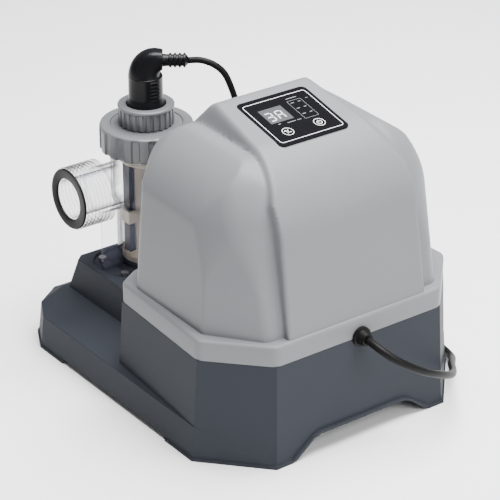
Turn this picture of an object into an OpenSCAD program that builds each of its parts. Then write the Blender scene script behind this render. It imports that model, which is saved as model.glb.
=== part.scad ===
// Salt chlorine generator: a power unit with a sloping control panel, standing on a
// wide base that carries a clear electrolysis cell on a pedestal behind the unit.
// Origin: middle of the base's footprint, on the floor. +Z up, front (panel side) faces -Y.

/* [Base] */
// Overall width of the base
base_w = 332; // [320:1:340]
// Overall depth of the base
base_d = 400; // [396:1:404]
// Height of the dark lower housing
housing_h = 112; // [108:1:114]
// Height of the platform's outer edge
platform_h = 38; // [34:1:40]
// Height of the pedestal that carries the cell
pedestal_h = 82; // [80:1:84]
// Wall thickness of the mouldings
wall = 3; // [2.5:0.1:3.2]
// Height of the arch between the front feet
arch_h = 22; // [14:1:22]

/* [Cover] */
// Height of the flared rim around the cover's foot
rim_h = 22; // [18:1:24]
// Wall thickness of the cover
cover_wall = 2.6; // [2:0.1:3]

/* [Control panel] */
// Width of the glossy panel
panel_w = 86; // [80:1:88]
// Length of the glossy panel up its slope
panel_l = 79; // [76:1:80]
// Slope of the panel
panel_tilt = 12.5; // [11:0.5:14]
// Radius of the two round keys
key_r = 7; // [6:0.5:8]

/* [Cell] */
// Distance of the cell's axis left of the middle
cell_left = 35; // [30:1:38]
// Height of the two hose ports
port_z = 177; // [175:1:180]
// Reach of a hose port from the cell's axis
port_reach = 101; // [98:1:104]
// Outer radius of the port's threaded end
port_r = 34; // [33:0.5:34.5]
// Bore radius of the hose ports
port_bore = 21; // [19:0.5:22]
// Outer radius of the large union nut
nut_r = 50.5; // [49.5:0.5:52]

/* [Leads] */
// Diameter of the mains lead
mains_d = 8; // [7:0.5:8]
// Diameter of the cell's lead
cell_lead_d = 7; // [6:0.5:7.5]

/* [Hidden] */
$fn = 64;

eps = 0.01;
half_w = base_w / 2;
half_d = base_d / 2;
front_y = -half_d + 6;
back_y = 25;
cover_top = 324;

// Cell positions
cell_x = -cell_left;
cell_y = 128;
vessel_floor = pedestal_h - 4;
collar_top = 229;
nut_bottom = 212;
nut_top = 240;
head_top = 239;
lock_top = 262;
elbow_z = 309;
lead_angle = -36.5;

// Control panel plane: its front edge sits at panel_y, panel_z
panel_y = -119;
panel_z = 302;
key_gap = 0.1;
power_u = 18;
timer_u = -21;
key_v = 19;

// Route of the mains lead, from its gland to the coil
mains_route = [[0, -206, 113], [0, -216, 112], [3, -228, 108], [11, -238, 101], [24, -244, 92],
    [40, -246, 82], [58, -244, 72], [76, -238, 62], [93, -228, 52], [108, -214, 43],
    [122, -198, 35], [136, -181, 27], [151, -165, 19], [165, -149, 11], [174, -131, 6.5],
    [179, -110, 4.8], [180, -85, 4.8], [180, -60, 4.8], [180, -36, 4.8], [180, -12, 4.8],
    [180, 9, 4.8]];
// The last bit of the mains lead, from the coil to its plug
tail_route = [[180, 51, 12.8], [181, 66, 14], [184, 80, 16.5], [187, 92, 18]];
// Route of the cell's lead, from its plug's boot to the gland in the cover's back
cell_route = [[1, 101, 310], [12, 93, 310], [23, 85, 305], [32, 79, 295], [37, 74, 280],
    [40, 69, 263], [40, 63, 246], [38, 56, 231], [35, 48, 219], [33, 41, 212], [33, 34, 209]];

// Coil of spare lead beside the base
coil_x = 232;
coil_y = 30;
coil_mid_r = 44;
coil_rows = 3;
coil_layers = 2;
tie_t = 0.8;

// ---------- shared shapes ----------

// Arc points that replace a corner; radius 0 keeps the corner sharp
function unit(v) = v / norm(v);
function corner(a, b, c, r, steps) =
    r == 0 ? [b] :
    let (u = unit(a - b), v = unit(c - b),
         half = acos(u * v) / 2,
         t = r / tan(half),
         centre = b + unit(u + v) * (r / sin(half)),
         p = b + u * t - centre,
         q = b + v * t - centre,
         a0 = atan2(p[1], p[0]),
         d = atan2(p[0] * q[1] - p[1] * q[0], p * q))
    [for (i = [0:steps]) centre + r * [cos(a0 + d * i / steps), sin(a0 + d * i / steps)]];
// Outline through [x, y, radius] corners
function rounded(pts, steps = 6) = [for (i = [0:len(pts) - 1])
    let (n = len(pts), b = pts[i], a = pts[(i + n - 1) % n], c = pts[(i + 1) % n])
    each corner([a[0], a[1]], [b[0], b[1]], [c[0], c[1]], b[2], steps)];
// Mirror a right-hand half outline, listed from front to back, into a whole one
function both_sides(half) = concat(half,
    [for (i = [len(half) - 1:-1:0]) [-half[i][0], half[i][1]]]);

// Eight-sided plan of the housing: chamfered front corners and narrowing sides
function housing_plan(front_x, fy, side_x, side_y, rear_x, rear_y, back_x, by) =
    both_sides([[front_x, fy], [side_x, side_y], [rear_x, rear_y], [back_x, by]]);

module plate(points, z, h) {
    translate([0, 0, z]) linear_extrude(h) polygon(points);
}
module ring(r_out, r_in, z, h) {
    difference() {
        translate([0, 0, z]) cylinder(r = r_out, h = h);
        translate([0, 0, z - 1]) cylinder(r = r_in, h = h + 2);
    }
}
module at_cell() {
    translate([cell_x, cell_y, 0]) children();
}
// Places children in panel coordinates: x across, y up the slope, z out of the panel
module on_panel() {
    translate([0, panel_y, panel_z]) rotate([panel_tilt, 0, 0]) children();
}
module rounded_sheet(w, l, r, z, h) {
    translate([0, 0, z]) linear_extrude(h) polygon(rounded(
        [[-w / 2, 0, r], [w / 2, 0, r], [w / 2, l, r], [-w / 2, l, r]]));
}
// A tube swept along a list of points
function sweep_dir(p, i) = unit(p[min(i + 1, len(p) - 1)] - p[max(i - 1, 0)]);
function sweep_side(d) = unit(cross(abs(d[2]) > 0.9 ? [1, 0, 0] : [0, 0, 1], d));
module tube(p, r, sides) {
    rings = [for (i = [0:len(p) - 1])
        let (d = sweep_dir(p, i), s = sweep_side(d), t = cross(d, s))
        each [for (k = [0:sides - 1])
            p[i] + r * (cos(360 * k / sides) * s + sin(360 * k / sides) * t)]];
    n = len(p);
    polyhedron(rings, concat([[for (k = [0:sides - 1]) k]],
        [for (i = [0:n - 2], k = [0:sides - 1])
            [i * sides + k, (i + 1) * sides + k,
             (i + 1) * sides + (k + 1) % sides, i * sides + (k + 1) % sides]],
        [[for (k = [sides - 1:-1:0]) (n - 1) * sides + k]]));
}

// ---------- base ----------

base_outline = both_sides([[108, -half_d], [half_w, -137], [half_w, 147],
    [half_w - 16, 178], [120, half_d]]);
inner_outline = both_sides([[106, -half_d + 2 * wall], [half_w - wall, -134],
    [half_w - wall, 146], [half_w - 18, 175], [119, half_d - wall]]);
platform_top = both_sides([[104, -half_d + 8], [half_w - 3, -137], [half_w - 3, 145],
    [half_w - 19, 175], [117, half_d - 4]]);

module housing_block(t, z0, z1) {
    hull() {
        plate(housing_plan(107 - t * 0.4, -half_d + 1 + t, half_w - 1 - t, -137 + t * 0.4,
            155 - t, 12, 128 - t * 0.4, 28 - t), z0, eps);
        plate(housing_plan(104 - t * 0.4, front_y + t, 158 - t, -137 + t * 0.4,
            149 - t, 9, 124 - t * 0.4, back_y - t), z1 - eps, eps);
    }
}
module platform_block(t, z0) {
    // outer edge, then the slope up to the pedestal's foot
    hull() {
        plate(t == 0 ? base_outline : inner_outline, z0, eps);
        plate([for (p = platform_top) [p[0] * (1 - t / half_w), p[1] * (1 - t / half_d)]],
            platform_h - t, eps);
    }
    if (t == 0) hull() {
        plate(platform_top, platform_h - eps, eps);
        plate([[-114, -100], [114, -100], [114, 180], [-114, 180]], 46, eps);
    }
}
module pedestal_block(t, y0, z0) {
    hull() {
        plate([[-112 + t, y0], [112 - t, y0], [112 - t, 176 - t], [-112 + t, 176 - t]], z0, eps);
        plate([[-105 + t, y0], [105 - t, y0], [105 - t, 163 - t], [97 - t, 170 - t],
            [-97 + t, 170 - t], [-105 + t, 163 - t]], pedestal_h - t, eps);
    }
}
// Gap under the front between the feet
module arch(grow) {
    translate([0, -half_d + 40, 0]) rotate([90, 0, 0]) linear_extrude(60) polygon([
        [-91 - grow, -1], [91 + grow, -1], [89 + grow, 0], [82 + grow, 3 + grow],
        [62, arch_h - 3 + grow], [53, arch_h + grow], [-53, arch_h + grow],
        [-62, arch_h - 3 + grow], [-82 - grow, 3 + grow], [-89 - grow, 0]]);
}
side_gap_h = 5;
module side_gaps() {
    translate([-half_w - 5, 0, 0]) rotate([90, 0, 90]) linear_extrude(base_w + 10) polygon([
        [-92, -1], [104, -1], [104, 0], [99, side_gap_h], [-87, side_gap_h], [-92, 0]]);
}
// Foot of the cell: a rounded rectangle grown by g
foot_w = 124;
foot_d = 72;
module foot_plan(g, z, h) {
    at_cell() translate([0, 0, z]) linear_extrude(h) polygon(rounded([
        [-foot_w / 2 - g, -foot_d / 2 - g, 28], [foot_w / 2 + g, -foot_d / 2 - g, 28],
        [foot_w / 2 + g, foot_d / 2 + g, 28], [-foot_w / 2 - g, foot_d / 2 + g, 28]]));
}
foot_screws = [for (x = [-47, 47], y = [-22, 22]) [x, y]];
module at_foot_screws(z) {
    at_cell() for (p = foot_screws) translate([p[0], p[1], z]) children();
}
boss_xy = [for (x = [-118, 118], y = [-150, 0]) [x, y]];
tray_floor = 26;
module base_tray() {
    color([0.31, 0.33, 0.37]) difference() {
        union() {
            difference() {
                union() {
                    housing_block(0, 0, housing_h);
                    platform_block(0, 0);
                    pedestal_block(0, 0, 40);
                    plate([for (p = base_outline) p * 1.006], 0, 3);
                    intersection() {
                        plate([[-108, -half_d - 1.2], [108, -half_d - 1.2],
                            [108, -half_d + 9], [-108, -half_d + 9]], 0, arch_h + 4);
                        arch(3);
                    }
                }
                housing_block(wall, -1, housing_h + 1);
                platform_block(wall, -1);
                pedestal_block(wall, 30, 30);
            }
            plate(housing_plan(103, -196, 161, -137, 151, 12, 125, 26), tray_floor, wall);
            // closes the housing's back below the platform's top
            plate([[-126, 22], [126, 22], [126, 26], [-126, 26]], tray_floor, 12);
            foot_plan(3, vessel_floor - wall, pedestal_h - vessel_floor + wall - 0.5);
            for (p = boss_xy) translate([p[0], p[1], tray_floor + 1])
                cylinder(r = 6, h = housing_h - tray_floor - 1);
        }
        arch(0);
        side_gaps();
        foot_plan(0.4, vessel_floor, 20);
        at_foot_screws(60) cylinder(r = 2.2, h = 30);
        for (p = boss_xy) translate([p[0], p[1], 20]) cylinder(r = 2.2, h = 100);
        translate([0, front_y + 20, housing_h + 1]) rotate([90, 0, 0]) cylinder(r = 7.6, h = 40);
    }
}

// ---------- cover ----------

// The flared rim at the cover's foot; t is the inset for the inside
module rim_block(t, z0, z1) {
    plate(housing_plan(104 - t * 0.4, front_y + t, 158 - t, -137 + t * 0.4,
        149 - t, 9, 124 - t * 0.4, back_y - t), z0, z1 - z0);
}
// Side view of a rounded body, extruded across the unit
module side_view(points, half) {
    rotate([90, 0, 90]) translate([0, 0, -half]) linear_extrude(2 * half)
        polygon(rounded(points, 8));
}
// Front view of a body, extruded from front to back
module front_view(points) {
    translate([0, 100, 0]) rotate([90, 0, 0]) linear_extrude(400) polygon(rounded(points, 8));
}
// The lower, wide body with its rounded shoulders
module shoulder_block(t, z0) {
    intersection() {
        hull() {
            plate(housing_plan(105 - t * 0.4, -187 + t, 148.5 - t, -131.5 + t * 0.4,
                146 - t, -10, 112 - t * 0.4, 22 - t), z0, eps);
            plate(housing_plan(109 - t * 0.4, -146 + t, 131.5 - t, -117 + t * 0.4,
                129.5 - t, -9, 104 - t * 0.4, 20 - t), 300, eps);
        }
        side_view([[-186 + t, z0, 0], [-146 + t, 290 - t, 58 - t], [0, 303 - t, 12],
            [26 - t, 288 - t, 14 - t], [26 - t, z0, 0]], half_w);
        front_view([[-149.5 + t, z0, 0], [-132.5 + t, 289 - t, 42 - t], [-84, 298 - t, 20],
            [84, 298 - t, 20], [132.5 - t, 289 - t, 42 - t], [149.5 - t, z0, 0]]);
    }
}
// The raised band that carries the panel and runs down the front
module band_block(t, z0) {
    intersection() {
        side_view([[front_y + t, z0, 0], [-166 + t, 291.5 - t, 58 - t],
            [-27 - t * 0.3, 323.3 - t, 8], [15, 268, 30], [back_y - 1 - t, 250, 0],
            [back_y - 1 - t, z0, 0]], 100);
        front_view([[-87 + t, z0, 0], [-84 + t, 264, 20], [-56 + t, cover_top + 2 - t, 6],
            [56 - t, cover_top + 2 - t, 6], [84 - t, 264, 20], [87 - t, z0, 0]]);
    }
}
gland_z = 209;
gland_x = 33;
board_drop = 9.8;
board_posts = [for (u = [-39, 39], v = [5, 74]) [u, v]];
module top_cover() {
    color([0.66, 0.67, 0.68]) difference() {
        union() {
            difference() {
                union() {
                    rim_block(0, housing_h, housing_h + rim_h);
                    shoulder_block(0, housing_h);
                    band_block(0, housing_h);
                }
                rim_block(cover_wall, housing_h - 1, housing_h + rim_h - cover_wall);
                shoulder_block(cover_wall, housing_h - 1);
                band_block(cover_wall, housing_h - 1);
            }
            // screw columns run up to the shoulders
            intersection() {
                shoulder_block(1, housing_h);
                for (p = boss_xy) translate([p[0], p[1], housing_h]) cylinder(r = 6, h = 200);
            }
            // posts that carry the display board
            on_panel() for (p = board_posts) translate([p[0], p[1], -board_drop])
                cylinder(r = 3, h = board_drop - 1.6);
        }
        // shallow recess and window for the panel
        on_panel() rounded_sheet(panel_w + 0.6, panel_l + 0.6, 6, -0.9, 10);
        on_panel() translate([-34, 10, -10]) cube([68, 58, 20]);
        // mains and cell lead holes
        translate([0, front_y + 20, housing_h + 1]) rotate([90, 0, 0]) cylinder(r = 7.6, h = 40);
        translate([gland_x, back_y + 20, gland_z]) rotate([90, 0, 0]) cylinder(r = 7.6, h = 60);
        for (p = boss_xy) translate([p[0], p[1], housing_h - 1]) cylinder(r = 1.6, h = 40);
        on_panel() for (p = board_posts) translate([p[0], p[1], -20]) cylinder(r = 1.25, h = 17);
    }
}

// ---------- control panel ----------

module panel_sheet() {
    color([0.02, 0.02, 0.02]) on_panel() difference() {
        rounded_sheet(panel_w, panel_l, 6, -0.8, 1.1);
        for (u = [timer_u, power_u]) translate([u, key_v, -5])
            cylinder(r = key_r + key_gap, h = 10);
    }
}
module round_key(u) {
    color([0.04, 0.04, 0.04]) on_panel() translate([u, key_v, 0]) {
        translate([0, 0, -1.6]) cylinder(r = key_r, h = 2.1);
        translate([0, 0, -5.6]) cylinder(r = 2.5, h = 4.1);
    }
}
module display_board() {
    color([0.05, 0.30, 0.14]) on_panel() difference() {
        translate([-43, 1, -board_drop - 1.6]) cube([86, 77, 1.6]);
        for (p = board_posts) translate([p[0], p[1], -20]) cylinder(r = 1.3, h = 20);
    }
}
module digit_display() {
    color([0.10, 0.10, 0.11]) on_panel() translate([-27.5, 37, -board_drop])
        cube([26, 22, board_drop - 1.2]);
}
module key_switches() {
    color([0.12, 0.12, 0.12]) on_panel() for (u = [timer_u, power_u]) {
        translate([u - 3, key_v - 3, -board_drop]) cube([6, 6, 3]);
        translate([u, key_v, -board_drop + 3 - eps]) cylinder(r = 1.6, h = 0.6);
    }
}
module panel_ribbon() {
    // flat ribbon from the display board down to the control board
    color([0.75, 0.75, 0.72]) rotate([90, 0, 90]) translate([0, 0, -10])
        linear_extrude(20) polygon([[-70, 300.9], [-69, 301.1], [-60, 230], [-62, 140],
            [-62, floor_top + 9.65], [-63, floor_top + 9.65], [-63, 140], [-61, 230]]);
}

// ---------- electronics ----------

floor_top = tray_floor + wall;
module control_board() {
    color([0.06, 0.32, 0.16]) difference() {
        translate([-95, -160, floor_top + 8]) cube([110, 130, 1.6]);
        for (x = [-90, 10], y = [-155, -35]) translate([x, y, 20]) cylinder(r = 1.7, h = 40);
    }
    color([0.80, 0.80, 0.78]) for (x = [-90, 10], y = [-155, -35])
        translate([x, y, floor_top]) ring(3.5, 1.7, 0, 8);
    color([0.10, 0.10, 0.10]) for (i = [0:3])
        translate([-80 + 22 * i, -140, floor_top + 9.6]) cylinder(r = 7, h = 26);
    color([0.20, 0.35, 0.60]) translate([-80, -100, floor_top + 9.6]) cube([30, 20, 18]);
}
core_x = 62;
core_y = -78;
module transformer_core() {
    color([0.25, 0.25, 0.27]) translate([core_x, core_y, floor_top]) difference() {
        translate([-38, -32, 0]) cube([76, 64, 66]);
        for (s = [-1, 1]) translate([s * 19 - 8, -40, 14]) cube([16, 80, 38]);
    }
}
module transformer_coil() {
    color([0.70, 0.42, 0.20]) translate([core_x, core_y, floor_top]) difference() {
        translate([-26, -44, 14.5]) cube([52, 88, 37]);
        translate([-11.5, -32.5, 0]) cube([23, 65, 80]);
    }
}
module heat_sink() {
    color([0.72, 0.73, 0.75]) translate([-60, -20, floor_top]) {
        cube([90, 4, 60]);
        for (i = [0:8]) translate([i * 10.6, 3.9, 0]) cube([3, 22, 60]);
    }
}
module rectifier() {
    color([0.08, 0.08, 0.08]) translate([-30, -27, floor_top + 25]) cube([30, 7, 30]);
}
module fuse_holder() {
    color([0.15, 0.15, 0.15]) translate([-40, -75, floor_top + 9.6]) {
        cube([30, 10, 6]);
        translate([3, 5, 8]) rotate([0, 90, 0]) cylinder(r = 3, h = 24);
    }
}

// ---------- glands and screws ----------

module gland(r_lead, cone) {
    difference() {
        union() {
            cylinder(r = 10.5, h = 3);
            translate([0, 0, 3 - eps]) cylinder(r1 = 8.5, r2 = 6.5, h = cone);
            translate([0, 0, -6]) cylinder(r = 7.4, h = 6 + eps);
        }
        translate([0, 0, -10]) cylinder(r = r_lead, h = 30);
    }
}
module mains_gland() {
    color([0.03, 0.03, 0.03]) translate([0, front_y - 0.5, housing_h + 1]) rotate([90, 0, 0])
        gland(mains_d / 2 + 0.05, 8.5);
}
module cell_gland() {
    color([0.03, 0.03, 0.03]) translate([gland_x, back_y - 1, gland_z]) rotate([-90, 0, 0])
        gland(cell_lead_d / 2 + 0.05, 7);
}
module cover_screws() {
    color([0.75, 0.75, 0.76]) for (p = boss_xy)
        translate([p[0], p[1], tray_floor - 2.3]) {
            cylinder(r = 4, h = 2.2);
            translate([0, 0, 2.2 - eps]) cylinder(r = 1.55, h = housing_h - tray_floor + 18);
        }
}
module board_screws() {
    color([0.75, 0.75, 0.76]) {
        for (x = [-90, 10], y = [-155, -35]) translate([x, y, floor_top + 9.65]) {
            cylinder(r = 3, h = 2);
            translate([0, 0, -9.6]) cylinder(r = 1.6, h = 9.7);
        }
        on_panel() for (p = board_posts) translate([p[0], p[1], -board_drop - 3.4]) {
            cylinder(r = 2.4, h = 1.7);
            translate([0, 0, 1.7 - eps]) cylinder(r = 1.2, h = 6.5);
        }
    }
}

// ---------- cell ----------

gasket_t = 2.5;
spigot_end = port_reach - gasket_t;
thread_depth = 1.8;
thread_pitch = 4.5;
thread_rings = 7;
module port_outside() {
    translate([0, 0, port_z]) rotate([0, 90, 0]) {
        cylinder(r = 25.5, h = spigot_end);
        translate([0, 0, spigot_end - 36]) cylinder(r = port_r - thread_depth, h = 36);
        translate([0, 0, spigot_end - 37]) cylinder(r = port_r, h = 3.2);
        for (i = [0:thread_rings - 1]) translate([0, 0, spigot_end - 2.5 - i * thread_pitch])
            cylinder(r = port_r, h = 1.6);
    }
}
module cell_vessel() {
    color([0.85, 0.88, 0.95, 0.35]) difference() {
        union() {
            foot_plan(0, vessel_floor, 3);
            at_cell() {
                rotate_extrude() polygon([[0, vessel_floor], [34.5, vessel_floor], [34.5, 146],
                    [40, 156], [40, 206], [43, 208], [43, 211], [45, 212], [45, collar_top],
                    [0, collar_top]]);
                for (a = [0, 180]) rotate([0, 0, a]) {
                    port_outside();
                    // web that braces the port against the foot
                    translate([30, -1.5, vessel_floor + 2]) cube([31, 3, port_z - vessel_floor - 20]);
                }
            }
        }
        at_cell() {
            rotate_extrude() polygon([[0, vessel_floor + 3], [31.5, vessel_floor + 3],
                [31.5, 147], [37, 157], [37, collar_top + 1], [0, collar_top + 1]]);
            translate([-120, 0, port_z]) rotate([0, 90, 0]) cylinder(r = port_bore, h = 240);
        }
        at_foot_screws(60) cylinder(r = 2.2, h = 40);
    }
}
module cell_screws() {
    color([0.75, 0.75, 0.76]) at_foot_screws(vessel_floor + 3) {
        cylinder(r = 4.2, h = 2.4);
        translate([0, 0, -14]) cylinder(r = 2.15, h = 14.01);
    }
}
module port_gasket(side) {
    color([0.05, 0.05, 0.05]) at_cell() translate([side * spigot_end, 0, port_z])
        rotate([0, side * 90, 0]) ring(port_r - 1.2, port_bore + 1.5, 0, gasket_t);
}
module head_seal() {
    color([0.10, 0.10, 0.10]) at_cell() ring(36.95, 35.1, 214.1, 3.3);
}
stud_xy = [[-9, -4], [9, -4], [0, 9]];
stud_r = 2.55;
module cell_head() {
    color([0.63, 0.64, 0.65]) at_cell() difference() {
        union() {
            translate([0, 0, 207]) cylinder(r = 36.6, h = 23);
            translate([0, 0, collar_top]) cylinder(r = 42, h = 3.5);
            translate([0, 0, collar_top]) cylinder(r = 38.4, h = head_top - collar_top);
            translate([0, 0, collar_top]) cylinder(r = 25, h = 254 - collar_top);
        }
        ring(40, 35, 214, 3.5);
        for (p = stud_xy) translate([p[0], p[1], 200]) cylinder(r = 2.6, h = 60);
        translate([0, 0, 200]) cylinder(r = 30, h = 10);
    }
}
module slip_ring() {
    color([0.85, 0.85, 0.83]) at_cell() ring(42, 39.2, 232.55, 1.4);
}
// Grip pads spaced round a nut
module grip_pads(r_in, r_out, count, z0, z1) {
    for (i = [0:count - 1]) rotate([0, 0, i * 360 / count])
        intersection() {
            ring(r_out, r_in - 1, z0, z1 - z0);
            translate([0, 0, z0]) linear_extrude(z1 - z0) polygon([[0, 0],
                [r_out * 2, -r_out * 2 * tan(90 / count)], [r_out * 2, r_out * 2 * tan(90 / count)]]);
        }
}
module union_nut() {
    color([0.60, 0.61, 0.62]) at_cell() difference() {
        union() {
            rotate_extrude() polygon([[44, nut_bottom], [nut_r - 3, nut_bottom],
                [nut_r - 1.6, nut_bottom + 2], [nut_r - 1.6, nut_top - 5],
                [nut_r - 0.2, nut_top - 4.5], [nut_r - 0.2, nut_top - 2],
                [nut_r - 2, nut_top], [38.7, nut_top], [38.7, 234.1], [44, 234.1]]);
            grip_pads(nut_r - 1.6, nut_r, 14, nut_bottom + 3, nut_top - 4);
        }
        translate([0, 0, nut_bottom - 1]) cylinder(r = 45.06, h = 234.1 - nut_bottom + 1);
    }
}
rail_x = 16;
module electrode_frame() {
    color([0.78, 0.68, 0.52]) at_cell() difference() {
        union() {
            for (s = [-1, 1]) {
                translate([s * rail_x - 4, -6, 88]) cube([8, 12, 113]);
                translate([s * 24.7 - 5.2, -7.2, 129]) cube([10.4, 14.4, 15]);
                translate([s * 24.7 - 5.2, -7.2, 90]) cube([10.4, 14.4, 5]);
            }
            translate([-13, -1.5, 88]) cube([26, 3, 113]);
            translate([0, 0, 198]) cylinder(r = 29.5, h = 12);
            translate([0, 0, 84]) cylinder(r = 29.5, h = 6);
        }
        for (s = [-1, 1], i = [0:2]) translate([s * (22.2 + 2.6 * i) - 0.6, -6.1, 80])
            cube([1.2, 12.2, 140]);
        for (p = stud_xy) translate([p[0], p[1], 190]) cylinder(r = 2.6, h = 60);
    }
}
module electrode_plates() {
    color([0.10, 0.10, 0.11]) at_cell() for (s = [-1, 1], i = [0:2])
        translate([s * (22.2 + 2.6 * i) - 0.5, -6, 86]) cube([1, 12, 118]);
}
module terminal_studs() {
    color([0.62, 0.62, 0.64]) at_cell() for (p = stud_xy)
        translate([p[0], p[1], 199]) cylinder(r = stud_r, h = 68);
}
module plug_seal() {
    color([0.05, 0.05, 0.05]) at_cell() ring(24.4, 14, 254, 1.5);
}
flange_top = 258.2;
module lock_washer() {
    color([0.85, 0.85, 0.83]) at_cell() ring(24.5, 21.4, flange_top + 0.05, 0.9);
}
module lock_ring() {
    color([0.62, 0.63, 0.64]) at_cell() difference() {
        union() {
            rotate_extrude() polygon([[24, 239.5], [28.4, 239.5], [28.9, 240.5], [28.9, 258],
                [30.4, 258.5], [30.4, 260.5], [29.2, lock_top], [21.3, lock_top],
                [21.3, 259.2], [24, 259.2]]);
            grip_pads(28.9, 30.4, 14, 241, 258.6);
        }
        translate([0, 0, 239]) cylinder(r = 25.06, h = 20.2);
    }
}
// Bevelled elbow on the plug: three outlines, seen from the side, the front and above
module plug_elbow() {
    intersection() {
        rotate([90, 0, 0]) linear_extrude(40, center = true) polygon(rounded([
            [-18.1, 290, 0], [-18.1, 304, 8], [-9, 320.5, 8], [19, 320.5, 4],
            [20.5, 300, 4], [16, 290, 0]]));
        rotate([90, 0, 90]) linear_extrude(60, center = true) polygon(rounded([
            [-16.5, 285, 0], [-16.5, 303, 5], [-10, 321, 4], [10, 321, 4],
            [16.5, 303, 5], [16.5, 285, 0]]));
        linear_extrude(330) polygon(rounded([
            [-18.3, -16.8, 13], [21, -14, 6], [21, 14, 6], [-18.3, 16.8, 13]]));
    }
}
module cell_plug() {
    color([0.03, 0.03, 0.03]) at_cell() difference() {
        union() {
            translate([0, 0, 255.5]) cylinder(r = 24.5, h = flange_top - 255.5);
            translate([0, 0, flange_top - eps]) cylinder(r = 20.6, h = 4.5);
            translate([0, 0, 262.5]) cylinder(r1 = 20.6, r2 = 18.5, h = 6);
            translate([0, 0, 268]) cylinder(r = 18.5, h = 28);
            rotate([0, 0, lead_angle]) {
                plug_elbow();
                translate([18, 0, elbow_z + 1]) rotate([0, 90, 0]) cylinder(r = 6.6, h = 27);
                for (i = [0:3]) translate([25 + 5 * i, 0, elbow_z + 1]) rotate([0, 90, 0])
                    cylinder(r = 7.8, h = 3);
            }
        }
        for (p = stud_xy) translate([p[0], p[1], 250]) cylinder(r = 2.8, h = 20);
    }
}
module cell_lead() {
    color([0.02, 0.02, 0.02]) tube(cell_route, cell_lead_d / 2, 8);
}

// ---------- mains lead ----------

module mains_cord() {
    color([0.03, 0.04, 0.03]) {
        tube(mains_route, mains_d / 2, 8);
        tube(tail_route, mains_d / 2, 8);
    }
}
coil_z = tie_t;
coil_half = coil_rows * mains_d / 2;
coil_h = coil_layers * mains_d;
module cord_coil() {
    color([0.03, 0.04, 0.03]) translate([coil_x, coil_y, coil_z]) rotate_extrude()
        translate([coil_mid_r - coil_half, 0]) square([2 * coil_half, coil_h]);
}
module cord_tie() {
    // strap round the coil at its far side
    color([0.02, 0.02, 0.02]) translate([coil_x - 5, coil_y + coil_mid_r, coil_z]) difference() {
        translate([0, -coil_half - 1.6, -tie_t])
            cube([10, 2 * coil_half + 3, coil_h + 2 * tie_t + 0.2]);
        translate([-1, -coil_half - 0.7, 0]) cube([12, 2 * coil_half + 1.1, coil_h + 0.1]);
    }
}
plug_y = 92;
module mains_plug() {
    color([0.03, 0.03, 0.03]) translate([187, plug_y, 18]) rotate([-90, 0, 0]) {
        cylinder(r1 = 6, r2 = 8, h = 16);
        translate([0, 0, 15.9]) cylinder(r1 = 12, r2 = 17.5, h = 12);
        translate([0, 0, 27.8]) cylinder(r = 17.8, h = 14);
        for (s = [-1, 1]) translate([s * 9.5, 0, 41]) cylinder(r = 2.4, h = 19);
    }
}

base_tray();
top_cover();
panel_sheet();
round_key(power_u);  // power_key
round_key(timer_u);  // timer_key
display_board();
digit_display();
key_switches();
panel_ribbon();
control_board();
transformer_core();
transformer_coil();
heat_sink();
rectifier();
fuse_holder();
mains_gland();
cell_gland();
cover_screws();
board_screws();
cell_vessel();
cell_screws();
port_gasket(-1);  // left_gasket
port_gasket(1);  // right_gasket
head_seal();
cell_head();
slip_ring();
union_nut();
electrode_frame();
electrode_plates();
terminal_studs();
plug_seal();
lock_washer();
lock_ring();
cell_plug();
cell_lead();
mains_cord();
cord_coil();
cord_tie();
mains_plug();
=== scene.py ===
import bpy
import math
import numpy as np
import bmesh
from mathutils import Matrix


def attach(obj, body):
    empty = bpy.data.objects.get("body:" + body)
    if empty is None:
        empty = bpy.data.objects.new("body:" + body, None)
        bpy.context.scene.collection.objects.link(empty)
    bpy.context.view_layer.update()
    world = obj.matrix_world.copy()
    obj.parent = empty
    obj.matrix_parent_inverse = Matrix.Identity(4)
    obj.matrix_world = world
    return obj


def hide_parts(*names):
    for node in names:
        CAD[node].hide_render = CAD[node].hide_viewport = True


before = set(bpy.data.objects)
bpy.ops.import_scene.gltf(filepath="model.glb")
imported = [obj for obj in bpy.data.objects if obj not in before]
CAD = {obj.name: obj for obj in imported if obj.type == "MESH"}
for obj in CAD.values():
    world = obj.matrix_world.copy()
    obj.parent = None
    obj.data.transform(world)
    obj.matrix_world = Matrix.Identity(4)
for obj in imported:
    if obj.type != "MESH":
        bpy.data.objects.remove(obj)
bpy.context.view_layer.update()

# ---------- Camera ----------
# A long lens from the front left, a little above the unit, so the panel, the
# left side and the cell behind it all show.
lens = bpy.data.cameras.new("camera")
lens.lens = 158.4
lens.sensor_width = 36.0
lens.clip_end = 20.0
camera = bpy.data.objects.new("camera", lens)
camera.location = (-1.2207, -1.6594, 1.1849)
camera.rotation_euler = (math.radians(62.85), 0.0, math.radians(-36.5))
bpy.context.scene.collection.objects.link(camera)
bpy.context.scene.camera = camera


# ---------- Studio ----------
# A pale floor under broad soft boxes: a large one overhead to the right, one in
# front and a faint one at the left, so the left side stays darker than the front.
def soft_box(name, place, aim, size, watts):
    """A square area light at place, its -Z axis turned towards aim."""
    light = bpy.data.lights.new(name, "AREA")
    light.shape = "SQUARE"
    light.size = size
    light.energy = watts
    holder = bpy.data.objects.new(name, light)
    holder.location = place
    way = np.array(aim) - np.array(place)
    flat = math.hypot(way[0], way[1])
    holder.rotation_euler = (math.atan2(flat, -way[2]), 0.0, math.atan2(way[1], way[0]) - math.pi / 2)
    bpy.context.scene.collection.objects.link(holder)


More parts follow.
